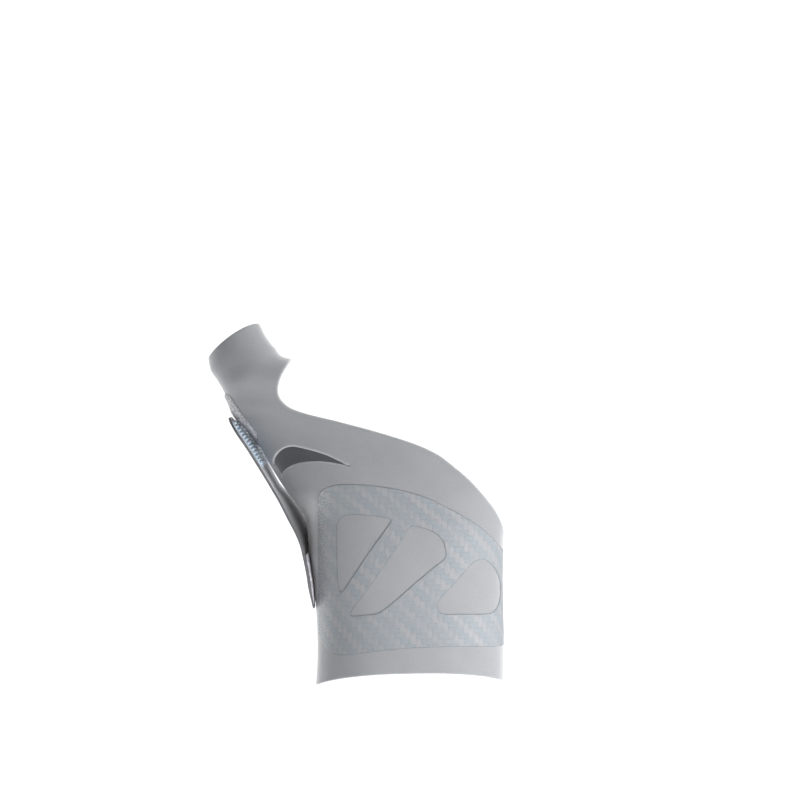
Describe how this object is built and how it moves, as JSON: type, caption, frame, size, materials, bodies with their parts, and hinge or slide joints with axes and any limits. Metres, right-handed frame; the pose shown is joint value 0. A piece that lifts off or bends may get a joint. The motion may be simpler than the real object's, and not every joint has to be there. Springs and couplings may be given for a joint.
{
  "type": "thumb spica splint",
  "caption": "Thin elastic wrist and thumb sleeve kept in its worn form, with a bonded support film, an open hand side and a hook-and-loop tension strap",
  "frame": {"origin": "centre of the wrist opening at the height of its hem, where the wrist that wears it passes through", "axes": "+Z from the wrist towards the fingers, -Y is the back of the hand, -X is the thumb's side, +X is the little finger's side"},
  "size_m": [0.1059, 0.0442, 0.1278],
  "materials": {
    "sleeve": "fine grey elastic knit, matt, with a light cut edge",
    "film": "thin semi-gloss film with a fine twill relief",
    "loop": "brushed loop pile",
    "strap": "smooth grey elastic band",
    "upper_hook": "fine rows of hooks",
    "lower_hook": "brushed hook and loop pile"
  },
  "bodies": {
    "root": {"sleeve": "sleeve", "support_film": "film", "loop_patch": "loop", "strap": "strap", "upper_hook_pad": "upper_hook", "lower_hook_pad": "lower_hook"}
  },
  "joints": []
}
